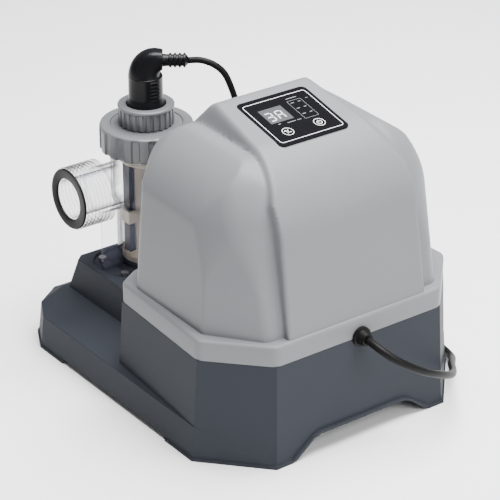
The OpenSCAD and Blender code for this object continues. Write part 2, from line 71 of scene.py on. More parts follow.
soft_box("front_box", (0.1, -2.1, 1.4), (0, -0.05, 0.15), 1.3, 46)
soft_box("top_box", (0.35, -0.1, 2.0), (0, 0, 0.2), 1.6, 185)
soft_box("left_box", (-2.2, -0.2, 1.0), (0, 0, 0.15), 1.4, 1.0)
world = bpy.data.worlds.new("studio")
bpy.context.scene.world = world
world.use_nodes = True
world.node_tree.nodes["Background"].inputs["Color"].default_value = (0.97, 0.98, 1.0, 1)
world.node_tree.nodes["Background"].inputs["Strength"].default_value = 0.25


class Wire:
    """A shader socket that takes arithmetic: an expression adds its Math nodes."""

    def __init__(self, tree, out=None):
        self.tree, self.out = tree, out

    def node(self, kind, settings=None, sockets=None, out=0):
        """Adds a node: settings first, then values or links for its sockets."""
        made = self.tree.nodes.new("ShaderNode" + kind)
        for key, value in (settings or {}).items():
            setattr(made, key, value)
        for key, value in (sockets or {}).items():
            if isinstance(value, Wire):
                self.tree.links.new(value.out, made.inputs[key])
            else:
                made.inputs[key].default_value = value
        return Wire(self.tree, made.outputs[out])

    def maths(self, operation, *terms):
        """Adds one Math node on sockets or numbers."""
        return self.node("Math", {"operation": operation}, dict(enumerate(terms)))

    def __add__(self, other):
        return self.maths("ADD", self, other)

    def __radd__(self, other):
        return self.maths("ADD", other, self)

    def __sub__(self, other):
        return self.maths("SUBTRACT", self, other)

    def __rsub__(self, other):
        return self.maths("SUBTRACT", other, self)

    def __mul__(self, other):
        return self.maths("MULTIPLY", self, other)

    def __rmul__(self, other):
        return self.maths("MULTIPLY", other, self)

    def step(self, low, high):
        """0 below low, 1 above high, smooth between."""
        return self.node("MapRange", {"interpolation_type": "SMOOTHSTEP"},
                         {"Value": self, "From Min": low, "From Max": high})

    def blend(self, a, b):
        """Colour a where this is 0 and b where it is 1."""
        return self.node("Mix", {"data_type": "RGBA"}, {0: self, 6: a, 7: b}, 2)


def new_finish(name):
    """A material with a bare Principled shader; returns it, its shader and a wire."""
    made = bpy.data.materials.new(name)
    made.use_nodes = True
    tree = made.node_tree
    return made, tree.nodes["Principled BSDF"], Wire(tree)


def noise(wire, place, scale, detail=3.0):
    """Noise value of the given scale per metre at place."""
    return wire.node("TexNoise", {}, {"Vector": place, "Scale": scale, "Detail": detail})


def join(wire, value, shader, socket):
    """Feeds a worked-out value to one of the shader's sockets."""
    wire.tree.links.new(value.out, shader.inputs[socket])


def moulded(name, colour, rough=0.42, grain=0.00006, grain_scale=900.0, drift=0.035,
            edge=0.0008, gloss=0.5):
    """Injection-moulded plastic: a fine spark-eroded grain (its depth in metres and its
    scale per metre), a slight drift in shade, and edges softened over a radius."""
    made, shader, wire = new_finish(name)
    place = wire.node("TexCoord", out=3)
    cloud = noise(wire, place, 9.0, 2.0)
    spark = noise(wire, place, grain_scale, 2.0)
    light = tuple(min(1.0, c * (1 + drift)) for c in colour) + (1,)
    dark = tuple(c * (1 - drift) for c in colour) + (1,)
    join(wire, cloud.step(0.35, 0.65).blend(dark, light), shader, "Base Color")
    join(wire, rough - 0.05 + 0.1 * (0.5 * cloud + 0.5 * spark), shader, "Roughness")
    shader.inputs["Specular IOR Level"].default_value = gloss
    soft = wire.node("Bevel", {"samples": 4}, {"Radius": edge})
    bump = wire.node("Bump", {}, {"Strength": 0.5, "Distance": grain, "Height": spark, "Normal": soft})
    join(wire, bump, shader, "Normal")
    return made


pale_floor = moulded("studio_floor", (0.93, 0.93, 0.93), 0.7, 0.00002, 200.0, 0.005)
floor_mesh = bpy.data.meshes.new("studio_floor")
floor_mesh.from_pydata([(-8, -8, 0), (8, -8, 0), (8, 8, 0), (-8, 8, 0)], [], [(0, 1, 2, 3)])
floor_mesh.materials.append(pale_floor)
studio_floor = bpy.data.objects.new("studio_floor", floor_mesh)
bpy.context.scene.collection.objects.link(studio_floor)


def piece(name, points, faces, finish, body="unit", smooth=True):
    """Puts arrays of points (mm) and faces into a mesh piece on a body."""
    mesh = bpy.data.meshes.new(name)
    points = np.asarray(points, float).reshape(-1, 3) * 0.001
    mesh.from_pydata(points.tolist(), [], [list(f) for f in faces])
    mesh.materials.append(finish)
    mesh.update()
    mesh.polygons.foreach_set("use_smooth", np.full(len(mesh.polygons), smooth))
    made = bpy.data.objects.new(name, mesh)
    bpy.context.scene.collection.objects.link(made)
    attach(made, body)
    return made


def grid_faces(rows, cols, close_rows=False, close_cols=False):
    """Quads of a rows by cols grid of points, joined up round either way if asked."""
    i = np.arange(rows if close_rows else rows - 1)
    j = np.arange(cols if close_cols else cols - 1)
    i, j = (a.ravel() for a in np.meshgrid(i, j, indexing="ij"))
    i2, j2 = (i + 1) % rows, (j + 1) % cols
    return np.stack([i * cols + j, i * cols + j2, i2 * cols + j2, i2 * cols + j], 1)


# ---------- Mains lead ----------
# A round rubber-sheathed lead about 8 mm thick. It leaves the seam at the front
# in its gland, drops to the floor round the right-hand corner and ends in a flat
# coil of spare length with its plug.
rubber = moulded("black_rubber", (0.005, 0.005, 0.005), 0.45, 0.00003, 1500.0, 0.1, 0.0008, 0.1)

lead_route = np.array([
    [0, -206, 113], [0, -216, 112], [3, -228, 108], [11, -238, 101], [24, -244, 92],
    [40, -246, 82], [58, -244, 72], [76, -238, 62], [93, -228, 52], [108, -214, 43],
    [122, -198, 35], [136, -181, 27], [151, -165, 19], [165, -149, 11], [174, -131, 6.5],
    [179, -110, 4.8], [180, -85, 4.8], [180, -60, 4.8], [180, -36, 4.8], [180, -12, 4.8],
    [180, 9, 4.8]], float)
plug_route = np.array([[180, 51, 12.8], [181, 66, 14], [184, 80, 16.5], [187, 92, 18]], float)
coil_at = (232, 30)


def ease(x):
    """Smooth 0 to 1 ramp: 3x^2 - 2x^3."""
    x = np.clip(x, 0, 1)
    return x * x * (3 - 2 * x)


def coil_points(turns=5):
    """Clockwise turns from the left: three on the floor winding inwards, then the lead
    climbs and two more wind outwards on top. Radius and height are ramps of the angle."""
    pitch = 8
    outer, inner = 52, 36
    floor_row = 4.8
    t = np.arange(0, turns * 360 + 1, 15.0)
    turn, part = np.divmod(t, 360.0)
    last = turn >= turns
    turn, part = np.where(last, turns - 1, turn), np.where(last, 360.0, part)
    inward = ease((part - 300) / 60)
    outward = ease(part / 60)
    radius = np.select([turn < 2, turn == 2],
                       [outer - pitch * (turn + inward), inner], inner + pitch * (turn - 3 + outward))
    climb = np.where(turn < 2, 0, np.where(turn == 2, ease((part - 220) / 110), 1))
    a = np.radians(180 - t)
    x, y = coil_at
    return np.stack([x + radius * np.cos(a), y + radius * np.sin(a), floor_row + pitch * climb], 1)


def through(points, steps=4):
    """Catmull-Rom curve: each stretch is the cubic set by its own two points and
    the two neighbours."""
    p = np.vstack([2 * points[:1] - points[1:2], points, 2 * points[-1:] - points[-2:-1]])
    t = (np.arange(steps) / steps)[None, :, None]
    a, b, c, d = (p[k:len(p) - 3 + k, None, :] for k in range(4))
    curve = 0.5 * (2 * b + (c - a) * t + (2 * a - 5 * b + 4 * c - d) * t ** 2
                   + (3 * b - a - 3 * c + d) * t ** 3)
    return np.vstack([curve.reshape(-1, 3), points[-1:]])


def lead_tube(path, radius, sides=14):
    """A tube: at each point of the path a circle square to it, with both ends capped."""
    way = np.gradient(path, axis=0)
    way /= np.linalg.norm(way, axis=1, keepdims=True)
    side = np.cross([0, 0, 1.0], way)
    side /= np.linalg.norm(side, axis=1, keepdims=True)
    up = np.cross(way, side)
    a = np.arange(sides) * 2 * np.pi / sides
    across, over = np.cos(a)[None, :, None], np.sin(a)[None, :, None]
    points = path[:, None] + radius * (across * side[:, None] + over * up[:, None])
    n = len(path)
    faces = [tuple(f) for f in grid_faces(n, sides, close_cols=True)]
    faces.append(tuple(range(sides - 1, -1, -1)))
    faces.append(tuple(range((n - 1) * sides, n * sides)))
    return points.reshape(-1, 3), faces


whole_lead = through(np.vstack([lead_route, coil_points(), plug_route]))
mains_lead = piece("mains_lead", *lead_tube(whole_lead, 4.0), rubber)
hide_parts("mains_cord", "cord_coil")

# ---------- Cell lead ----------
# The thinner lead, 7 mm thick in the same rubber. It rises out of the cell's plug and
# arches over to the gland in the cover's back.
cell_route = np.array([
    [1, 101, 310], [12, 93, 310], [23, 85, 305], [32, 79, 295], [37, 74, 280], [40, 69, 263],
    [40, 63, 246], [38, 56, 231], [35, 48, 219], [33, 41, 212], [33, 34, 209]], float)
cell_path = through(cell_route, 6)
cell_cord = piece("cell_cord", *lead_tube(cell_path, 3.5), rubber)
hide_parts("cell_lead")

# ---------- Cover ----------
# One large injection-moulded shell in mid grey: rounded shoulders, a raised band
# that runs up the front and over the top, and a flared rim that sits on the tray.
cover_grey = moulded("cover_grey", (0.155, 0.158, 0.166), 0.42, 0.00005, 1100.0, 0.012, 0.0008, 0.2)
cover_wall = 2.6
seam_z = 112
panel_tilt = math.radians(12.5)
panel_way = np.array([0, math.cos(panel_tilt), math.sin(panel_tilt)])
panel_up = np.array([0, -math.sin(panel_tilt), math.cos(panel_tilt)])
panel_foot = np.array([0, -119.0, 302.0])


def inset(corners, d):
    """The polygon moved in by d: each corner slides along the mitre of its two sides."""
    c = np.asarray(corners, float)
    before, after = c - np.roll(c, 1, 0), np.roll(c, -1, 0) - c
    before /= np.linalg.norm(before, axis=1, keepdims=True)
    after /= np.linalg.norm(after, axis=1, keepdims=True)
    n1 = np.stack([-before[:, 1], before[:, 0]], 1)
    n2 = np.stack([-after[:, 1], after[:, 0]], 1)
    return c + d * (n1 + n2) / (1 + (n1 * n2).sum(1, keepdims=True))


def round_outline(corners, radius, arc=8, side=6):
    """Closed outline: side points along each edge, and arc points round each corner on
    the quadratic curve from one tangent point to the next."""
    c = np.asarray(corners, float)
    back, on = np.roll(c, 1, 0) - c, np.roll(c, -1, 0) - c
    lb = np.linalg.norm(back, axis=1, keepdims=True)
    lo = np.linalg.norm(on, axis=1, keepdims=True)
    t = np.minimum(radius, 0.45 * np.minimum(lb, lo))
    p, q = c + back / lb * t, c + on / lo * t
    s = np.linspace(0, 1, arc)[None, :, None]
    bend = (1 - s) ** 2 * p[:, None] + 2 * s * (1 - s) * c[:, None] + s ** 2 * q[:, None]
    e = (np.arange(1, side) / side)[None, :, None]
    nxt = np.roll(p, -1, 0)
    straight = q[:, None] * (1 - e) + nxt[:, None] * e
    return np.concatenate([bend, straight], 1).reshape(-1, 2)


def swept_rim(corners, profile, radius):
    """A closed profile of (inset, height) pairs carried round a polygon: every profile
    point is the rounded outline at that inset."""
    rings = [round_outline(inset(corners, d), max(radius - d, 0.8)) for d, z in profile]
    points = np.stack([np.column_stack([r, np.full(len(r), z)]) for r, (d, z) in zip(rings, profile)])
    return points.reshape(-1, 3), grid_faces(len(profile), points.shape[1], close_rows=True, close_cols=True)


def plan_distance(x, y, z, low, high, z0, z1):
    """Distance outside a tapering convex plan: low and high give the right half's corners,
    front to back, at heights z0 and z1; each side's line is the blend of the two."""
    f = (z - z0) / (z1 - z0)
    low, high = np.asarray(low, float), np.asarray(high, float)
    ax = np.abs(x)
    sides = [(low[0, 1] + f * (high[0, 1] - low[0, 1])) - y]
    for k in range(len(low) - 1):
        a = [low[k, m] + f * (high[k, m] - low[k, m]) for m in (0, 1)]
        b = [low[k + 1, m] + f * (high[k + 1, m] - low[k + 1, m]) for m in (0, 1)]
        dx, dy = b[0] - a[0], b[1] - a[1]
        sides.append(((ax - a[0]) * dy - (y - a[1]) * dx) / np.hypot(dx, dy))
    sides.append(y - (low[-1, 1] + f * (high[-1, 1] - low[-1, 1])))
    return sides


def round_meet(parts, r):
    """Several walls that meet in an edge of radius r: inside it is the greatest distance,
    past the edge it is the length of what each wall is crossed by."""
    over = [np.maximum(p + r, 0) for p in parts]
    deep = parts[0]
    for p in parts[1:]:
        deep = np.maximum(deep, p)
    return np.minimum(deep, -r) + np.sqrt(sum(o * o for o in over))


def cover_distance(p, t):
    """Distance of points from the cover's skin moved in by t: the shoulders and the band,
    each a set of walls with rounded edges, joined with a small fillet."""
    x, y, z = p[..., 0], p[..., 1], p[..., 2]
    band_half = 84

    # the shoulders: each flat side wall cuts the rounded body a little way in
    plan = plan_distance(x, y, z, [(105, -187), (148.5, -131.5), (146, -10), (112, 22)],
                         [(109, -146), (131.5, -117), (129.5, -9), (104, 20)], seam_z, 300)
    side, side_cut = plan[2] + t, 3.6
    plan[2] = plan[2] - side_cut
    plan = [w + t for w in plan]
    front_corner = 5 - t + 26 * ease((z - 175) / 100)
    wall = np.maximum(round_meet(plan[:3], front_corner), round_meet(plan[2:], 9 - t))
    fall = 0.03 * np.maximum(-y - 35, 0) + 0.30 * np.maximum(np.abs(x) - band_half, 0)
    roof = (z - 299 + fall) * 0.97 + t
    body = np.maximum(round_meet([wall, roof], 44 - t), round_meet([plan[2], roof], 60 - t))
    shoulder = round_meet([body, side], 1.2)

    # the band: its front leans back 28 over 179.5, its top has the panel's slope
    run, rise = 28, 179.5
    front = (-166 - y - (291.5 - z) * run / rise) * math.cos(math.atan2(run, rise))
    top = (z - panel_foot[2] - (y - panel_foot[1]) * math.tan(panel_tilt)) * math.cos(panel_tilt)
    ridge = round_meet([front + t, top + t], 58 - t)
    half = np.interp(z, [seam_z, 264, 326], [87, band_half, 56])
    cheek = (np.abs(x) - half) * 0.93
    back = (z - 323.3 + (y + 27) * 1.3) * 0.61
    heel = y - 24
    band = round_meet([round_meet([ridge, back + t], 7), cheek + t, heel + t], 3)

    # the two meet in a fillet
    fillet = 2.2
    h = np.clip(0.5 + 0.5 * (band - shoulder) / fillet, 0, 1)
    return band * (1 - h) + shoulder * h - fillet * h * (1 - h)


def dome(t, n, centre):
    """Skin of the cover: a square grid laid over a half sphere of directions from centre
    by the concentric map, each ray followed to the skin by halving steps."""
    s = np.linspace(-1, 1, n)
    a, b = np.meshgrid(s, s, indexing="ij")
    big = np.where(np.abs(a) > np.abs(b), a, b)
    small = np.where(np.abs(a) > np.abs(b), b, a)
    phi = np.pi / 4 * small / np.where(big == 0, 1, big)
    ang = np.where(np.abs(a) > np.abs(b), phi, np.pi / 2 - phi) + np.where(big < 0, np.pi, 0)
    rise = (1 - np.abs(big)) * np.pi / 2
    ray = np.stack([np.cos(rise) * np.cos(ang), np.cos(rise) * np.sin(ang), np.sin(rise)], -1)
    near, far = np.zeros(a.shape), np.full(a.shape, 320.0)
    halvings = 34
    for _ in range(halvings):
        mid = (near + far) / 2
        out = cover_distance(centre + mid[..., None] * ray, t) > 0
        near, far = np.where(out, near, mid), np.where(out, mid, far)
    return centre + near[..., None] * ray


def shell(n=205):
    """Outer and inner skins of the cover, with the panel window and the lead's hole left
    out of both and every open edge closed by a strip between them."""
    centre = np.array([0, -85.0, 131.0])
    outer, inner = dome(0.0, n, centre), dome(cover_wall, n, centre)
    mid = (outer[:-1, :-1] + outer[1:, 1:]) / 2
    u, v, lift = mid[..., 0], (mid - panel_foot) @ panel_way, (mid - panel_foot) @ panel_up
    window = (np.abs(u) < 33) & (np.abs(v - 39) < 28) & (np.abs(lift) < 3)
    gland_x, gland_z = cell_route[-1, 0], cell_route[-1, 2]
    hole = (np.hypot(mid[..., 0] - gland_x, mid[..., 2] - gland_z) < 6.5) & (mid[..., 1] > 10)
    keep = ~(window | hole)
    index = np.arange(n * n).reshape(n, n)
    quad = np.stack([index[:-1, :-1], index[1:, :-1], index[1:, 1:], index[:-1, 1:]], -1)
    faces = [quad[keep], quad[keep][:, ::-1] + n * n]
    wide = np.pad(keep, 1)
    edge_of = {(-1, 0): (3, 0), (1, 0): (1, 2), (0, -1): (0, 1), (0, 1): (2, 3)}
    for (di, dj), (e0, e1) in edge_of.items():
        open_side = keep & ~wide[1 + di:n + di, 1 + dj:n + dj]
        q = quad[open_side]
        faces.append(np.stack([q[:, e1], q[:, e0], q[:, e0] + n * n, q[:, e1] + n * n], -1))
    return np.vstack([outer.reshape(-1, 3), inner.reshape(-1, 3)]), np.vstack(faces)


housing_plan = np.array([(104, -194), (158, -137), (149, 9), (124, 25),
                         (-124, 25), (-149, 9), (-158, -137), (-104, -194)], float)
rim_foot = seam_z + 0.2
rim_profile = [(0, rim_foot), (0, 120), (0, 130), (0.5, 132), (1.9, 133.4), (4, 133.9), (16, 134),
               (16, 131.4), (cover_wall, 131.2), (cover_wall, rim_foot)]
shell_points, shell_faces = shell()
rim_points, rim_faces = swept_rim(housing_plan, rim_profile, 6)
cover = piece("cover_shell", np.vstack([shell_points, rim_points]),
              np.vstack([shell_faces, rim_faces[:, ::-1] + len(shell_points)]), cover_grey)
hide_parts("top_cover")


def turn_outwards(made, near=1e-7):
    """Joins points nearer than near, and turns every face of a closed mesh outwards."""
    work = bmesh.new()
    work.from_mesh(made.data)
    bmesh.ops.remove_doubles(work, verts=work.verts, dist=near)
    bmesh.ops.recalc_face_normals(work, faces=work.faces)
    work.to_mesh(made.data)
    work.free()


def crisp(made, degrees=35):
    """Smooth shading that breaks at edges sharper than the angle."""
    work = bmesh.new()
    work.from_mesh(made.data)
    for face in work.faces:
        face.smooth = True
    for edge in work.edges:
        edge.smooth = len(edge.link_faces) == 2 and edge.calc_face_angle(3.2) < math.radians(degrees)
    work.to_mesh(made.data)
    work.free()


turn_outwards(cover)
crisp(cover, 40)

# ---------- Base ----------
# The slate lower moulding: housing walls, the long platform with its pedestal, the
# arch between the front feet and a thin lip round the bottom edge.
slate = moulded("base_slate", (0.026, 0.029, 0.036), 0.55, 0.00006, 1000.0, 0.02, 0.0014, 0.08)


def paint(node, finish):
    """Puts a finish on every slot of a CAD node."""
    slots = CAD[node].material_slots
    if not slots:
        CAD[node].data.materials.append(finish)
    for holder in slots:
        holder.material = finish


paint("base_tray", slate)

# ---------- Control panel ----------
# A satin black film glued into a shallow recess in the band's slope. A white frame
# line, a grey mode list and two key symbols are printed on it, and a two-digit display
# shows through a tinted window.
film, film_shader, film_wire = new_finish("panel_film")
film_shader.inputs["Base Color"].default_value = (0.004, 0.004, 0.005, 1)
film_shader.inputs["Specular IOR Level"].default_value = 0.08
film_place = film_wire.node("TexCoord", out=3)
join(film_wire, 0.16 + 0.1 * noise(film_wire, film_place, 300.0), film_shader, "Roughness")
for node in ("panel_sheet", "power_key", "timer_key", "digit_display"):
    paint(node, film)


def ink(name, colour, glow=0.0):
    """Printed or lit marks: a flat colour with a faint mottle, glowing if asked."""
    made, shader, wire = new_finish(name)
    place = wire.node("TexCoord", out=3)
    mottle = noise(wire, place, 700.0).step(0.2, 0.8)
    worn, full = tuple(c * 0.92 for c in colour) + (1,), tuple(colour) + (1,)
    join(wire, mottle.blend(worn, full), shader, "Base Color")
    shader.inputs["Roughness"].default_value = 0.5
    if glow:
        shader.inputs["Emission Color"].default_value = full
        shader.inputs["Emission Strength"].default_value = glow
    return made


white_ink = ink("white_print", (0.8, 0.8, 0.8))
lit_digits = ink("lit_digits", (0.5, 0.56, 0.6), 0.3)


def on_panel(uvn):
    """Panel coordinates (across, up the slope, out of it) to the part's own."""
    uvn = np.asarray(uvn, float)
    across, along, out = uvn[..., :1], uvn[..., 1:2], uvn[..., 2:3]
    return panel_foot + across * [1, 0, 0] + along * panel_way + out * panel_up


def prism_faces(count):
    """Six faces for each of several prisms: four points of one end, then four of the other."""
    one = np.array([(3, 2, 1, 0), (4, 5, 6, 7), (0, 1, 5, 4), (1, 2, 6, 5), (2, 3, 7, 6), (3, 0, 4, 7)])
    return (one[None] + 8 * np.arange(count)[:, None, None]).reshape(-1, 4)


def bars(shapes, base, thick):
    """Flat prisms: each shape's four corners at height base and again at base + thick."""
    c = np.asarray(shapes, float)
    low = np.concatenate([c, np.full(c.shape[:2] + (1,), base)], 2)
    high = np.concatenate([c, np.full(c.shape[:2] + (1,), base + thick)], 2)
    points = on_panel(np.concatenate([low, high], 1))
    return points.reshape(-1, 3), prism_faces(len(c))


def line(u0, v0, u1, v1, w):
    """Corners of a straight stroke of width w from one panel point to another."""
    d = np.array([u1 - u0, v1 - v0], float)
    n = np.array([-d[1], d[0]]) / np.hypot(*d) * w / 2
    a, b = np.array([u0, v0]), np.array([u1, v1])
    return [a - n, b - n, b + n, a + n]


def band_ring(outer, inner, base, thick):
    """A flat ring between two outlines of equal count: top, walls and underside."""
    k = len(outer)
    rows = [(outer, base), (outer, base + thick), (inner, base + thick), (inner, base)]
    points = np.stack([on_panel(np.column_stack([o, np.full(k, h)])) for o, h in rows])
    return points.reshape(-1, 3), grid_faces(4, k, close_rows=True, close_cols=True)


def merged(parts):
    """Joins (points, faces) pairs into one."""
    points, faces, count = [], [], 0
    for p, f in parts:
        points.append(p)
        faces.append(np.asarray(f) + count)
        count += len(p)
    return np.vstack(points), np.vstack(faces)


def box_outline(u0, v0, u1, v1, r):
    """A rectangle between two corners, its own corners rounded by r."""
    return round_outline([(u0, v0), (u1, v0), (u1, v1), (u0, v1)], r)


def circle(u, v, r, n=40, a0=0.0, a1=360.0):
    """n points round a circle, or along its arc from a0 to a1 degrees."""
    a = np.radians(np.linspace(a0, a1, n, endpoint=a1 - a0 < 360))
    return np.column_stack([u + r * np.cos(a), v + r * np.sin(a)])


def printed(name, parts, finish, body="unit"):
    """A flat-shaded piece made of printed parts."""
    made = piece(name, *merged(parts), finish, body, smooth=False)
    turn_outwards(made)


film_top = 0.3
ink_thick = 0.06
frame_line = band_ring(box_outline(-39, 5, 39, 73, 4), box_outline(-38.4, 5.6, 38.4, 72.4, 3.6),
                       film_top, ink_thick)
printed("panel_print", [frame_line], white_ink)
marks = [line(-12, 31.6, -2, 31.6, 0.7), line(0, 31.6, 5, 31.6, 0.7), line(-22.5, 33, -19.5, 33, 0.8),
         line(11, 66, 24, 66, 0.8), line(31, 60, 34, 60, 0.6)]
for v in (58, 48, 38):
    marks += [line(11.5, v, 15.5, v, 0.8), line(20.5, v, 23.5, v, 0.8)]
list_frame = band_ring(box_outline(9, 30, 26, 62, 1), box_outline(9.3, 30.3, 25.7, 61.7, 0.8),
                       film_top, ink_thick)
printed("mode_list", [list_frame, bars(marks, film_top, ink_thick)],
        ink("dim_print", (0.20, 0.20, 0.21)))


def digit(u, v, w, h, lit):
    """Seven-stroke digit: lit lists the strokes a to g that show."""
    g = 0.7
    strokes = dict(a=(u + g, v + h, u + w - g, v + h), b=(u + w, v + h - g, u + w, v + h / 2 + g),
                   c=(u + w, v + h / 2 - g, u + w, v + g), d=(u + g, v, u + w - g, v),
                   e=(u, v + h / 2 - g, u, v + g), f=(u, v + h - g, u, v + h / 2 + g),
                   g=(u + g, v + h / 2, u + w - g, v + h / 2))
    return [line(*strokes[s], 1.5) for s in lit]


window = [[(-28.4, 36), (-0.6, 36), (-0.6, 60), (-28.4, 60)]]
printed("display_window", [bars(window, film_top - 0.02, 0.04)],
        ink("display_tint", (0.02, 0.02, 0.024)))
strokes = digit(-25.5, 40, 7, 13, "abcdg") + digit(-13.5, 40, 7, 13, "abcefg")
printed("display_digits", [bars(strokes, film_top, 0.05)], lit_digits)


def key_mark(u, v, strokes):
    """A thin ring round a key's middle and the strokes of its symbol."""
    key_top, thick = 0.5, 0.05
    return [band_ring(circle(u, v, 6.2), circle(u, v, 5.6), key_top, thick), bars(strokes, key_top, thick)]


arc = circle(18, 18.8, 2.7, 14, 125, 415)
power_strokes = [line(18, 19.4, 18, 22.4, 0.8)] + [line(*a, *b, 0.8) for a, b in zip(arc[:-1], arc[1:])]
printed("power_symbol", key_mark(18, 19, power_strokes), white_ink, "power_button")
timer_strokes = [line(-24.6, 20.5, -21.6, 20.5, 0.8), line(-23.1, 19.0, -23.1, 22.0, 0.8),
                 line(-20.4, 17.4, -17.6, 17.4, 0.8), line(-22.6, 16.2, -19.4, 21.8, 0.7)]
printed("timer_symbol", key_mark(-21, 19, timer_strokes), white_ink, "timer_button")

# ---------- Union nut and lock ring ----------
# Grey moulded nuts with broad grip lands round them; the big one clamps the cell's
# head, the small one holds the plug down.
nut_grey = moulded("nut_grey", (0.115, 0.118, 0.124), 0.36, 0.00004, 1100.0, 0.02)
cell_at = np.array([-35.0, 128.0])


def turned(profile, count=96):
    """A closed (radius, height) profile turned about the cell's upright axis."""
    p = np.asarray(profile, float)
    a = np.arange(count) * 2 * np.pi / count
    r, z = p[:, 0][:, None], p[:, 1][:, None]
    points = np.stack([cell_at[0] + r * np.cos(a), cell_at[1] + r * np.sin(a), z + 0 * a], -1)
    return points.reshape(-1, 3), grid_faces(len(p), count, close_rows=True, close_cols=True)


def gripped(profile, grip, lands, depth):
    """As turned, but the points marked in grip dip by depth between the lands: the dip is
    a smooth step of the cosine round the nut."""
    p = np.asarray(profile, float)
    points_a_land = 22
    count = lands * points_a_land
    a = np.arange(count) * 2 * np.pi / count
    dip = ease((0.1 - np.cos(lands * a)) / 0.5 + 0.1)
    r, z = p[:, 0][:, None] - depth * np.asarray(grip, float)[:, None] * dip, p[:, 1][:, None]
    points = np.stack([cell_at[0] + r * np.cos(a), cell_at[1] + r * np.sin(a), z + 0 * a], -1)
    return points.reshape(-1, 3), grid_faces(len(p), count, close_rows=True, close_cols=True)


def nut(name, node, surface, body):
    """A grip nut in place of a CAD node."""
    made = piece(name, *surface, nut_grey, body)
    turn_outwards(made)
    crisp(made, 38)
    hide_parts(node)


nut_profile = [(45.06, 212), (49.2, 212), (50.1, 212.6), (50.5, 213.6), (50.5, 218), (50.5, 226),
               (50.5, 233), (50.4, 235.6), (50.3, 236.6), (50.2, 237.4), (49.9, 238.6), (49.0, 239.6),
               (47.8, 240), (43, 240), (39.3, 240), (38.75, 239.6), (38.7, 234.3), (38.9, 234.1),
               (45.06, 234.1)]
nut_grip = [0, 1, 1, 1, 1, 1, 1, 1, 0.9, 0.5, 0.15, 0, 0, 0, 0, 0, 0, 0, 0]
nut("grip_nut", "union_nut", gripped(nut_profile, nut_grip, 17, 1.9), "nut")
lock_profile = [(25.06, 239.5), (28.2, 239.5), (29.4, 240.2), (29.6, 241), (29.6, 250), (29.6, 257.4),
                (29.7, 258.2), (30.3, 258.9), (30.4, 260.4), (30.0, 261.4), (29.2, 262), (21.8, 262),
                (21.3, 261.6), (21.3, 259.4), (21.5, 259.2), (25.06, 259.2)]
lock_grip = [0, 1, 1, 1, 1, 1, 0.6, 0.1, 0, 0, 0, 0, 0, 0, 0, 0]
nut("plug_nut", "lock_ring", gripped(lock_profile, lock_grip, 24, 1.5), "lock")
paint("cell_head", nut_grey)
acetal = moulded("slip_acetal", (0.62, 0.62, 0.60), 0.3, 0.00002, 900.0, 0.02, 0.0002)
paint("slip_ring", acetal)
paint("lock_washer", acetal)

# ---------- Cell vessel ----------
# A clear moulded vessel: straight lower barrel, wider neck, two threaded ports and
# thin webs. Face on, its wall is nearly clear with a lavender cast; edge on, it turns more opaque and takes
# a painted shade, near black, in place of the dark edge lines that refraction gives a clear wall.
clear, clear_shader, clear_wire = new_finish("clear_vessel")
facing = clear_wire.node("LayerWeight", {}, {"Blend": 0.5}, 1)
join(clear_wire, 0.09 + 0.85 * facing.step(0.3, 1.0), clear_shader, "Alpha")
# The near-black edge colour is painted shade: seen edge on, the wall is given a dark colour and more opacity
# in place of refraction.
lavender, painted_edge_shade = (0.42, 0.44, 0.62, 1), (0.015, 0.015, 0.022, 1)
join(clear_wire, facing.step(0.15, 0.6).blend(lavender, painted_edge_shade), clear_shader, "Base Color")
clear_place = clear_wire.node("TexCoord", out=3)
join(clear_wire, 0.02 + 0.05 * noise(clear_wire, clear_place, 60.0), clear_shader, "Roughness")
vessel_mesh = CAD["cell_vessel"].data.copy()
vessel_mesh.name = "clear_vessel"
vessel_mesh.materials.clear()
vessel_mesh.materials.append(clear)
vessel = bpy.data.objects.new("clear_vessel", vessel_mesh)
bpy.context.scene.collection.objects.link(vessel)
turn_outwards(vessel, 2e-6)
crisp(vessel, 25)
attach(vessel, "unit")
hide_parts("cell_vessel")
port_z = 177
port_end = 98.5
port_seal_profile = [(22.5, 0.2), (22.9, -0.1), (32.2, -0.1), (32.8, 0.4), (32.8, 2.0), (32.3, 2.5),
                     (23.0, 2.5), (22.5, 2.1)]


def turned_on_x(profile, side, count=72):
    """A closed (radius, distance) profile turned about the ports' level axis."""
    p = np.asarray(profile, float)
    a = np.arange(count) * 2 * np.pi / count
    r = p[:, 0][:, None]
    x = cell_at[0] + side * (port_end + p[:, 1])[:, None] + 0 * a
    points = np.stack([x, cell_at[1] + r * np.cos(a), port_z + r * np.sin(a)], -1)
    return points.reshape(-1, 3), grid_faces(len(p), count, close_rows=True, close_cols=True)


for node, side in (("left_gasket", -1), ("right_gasket", 1)):
    seal = piece(node + "_ring", *turned_on_x(port_seal_profile, side), rubber)
    turn_outwards(seal)
    crisp(seal, 40)
    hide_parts(node)

# ---------- Electrodes ----------
# Beige moulded rails carry thin plates with a dark coating, on either side of the
# vessel's middle.
beige = moulded("rail_beige", (0.80, 0.68, 0.52), 0.45, 0.00004, 800.0, 0.03, 0.0004)
paint("electrode_frame", beige)
coated = moulded("coated_plate", (0.02, 0.02, 0.022), 0.5, 0.00003, 1500.0, 0.1, 0.0001)
paint("electrode_plates", coated)

# ---------- Cell plug ----------
# A black moulded right-angle plug: a round barrel with grip ribs, an elbow that
# squares up towards the lead, and a ribbed strain relief.
plug_black = moulded("plug_black", (0.004, 0.004, 0.005), 0.30, 0.00003, 1000.0, 0.08, 0.0008, 0.16)
plug_turn = math.radians(-36.5)
plug_way = np.array([math.cos(plug_turn), math.sin(plug_turn)])
plug_side = np.array([-plug_way[1], plug_way[0]])


def beside_plug(along, across, up):
    """Points from distances along the lead's direction, across it, and a height."""
    flat = cell_at + along[..., None] * plug_way + across[..., None] * plug_side
    return np.concatenate([flat, up[..., None]], -1).reshape(-1, 3)


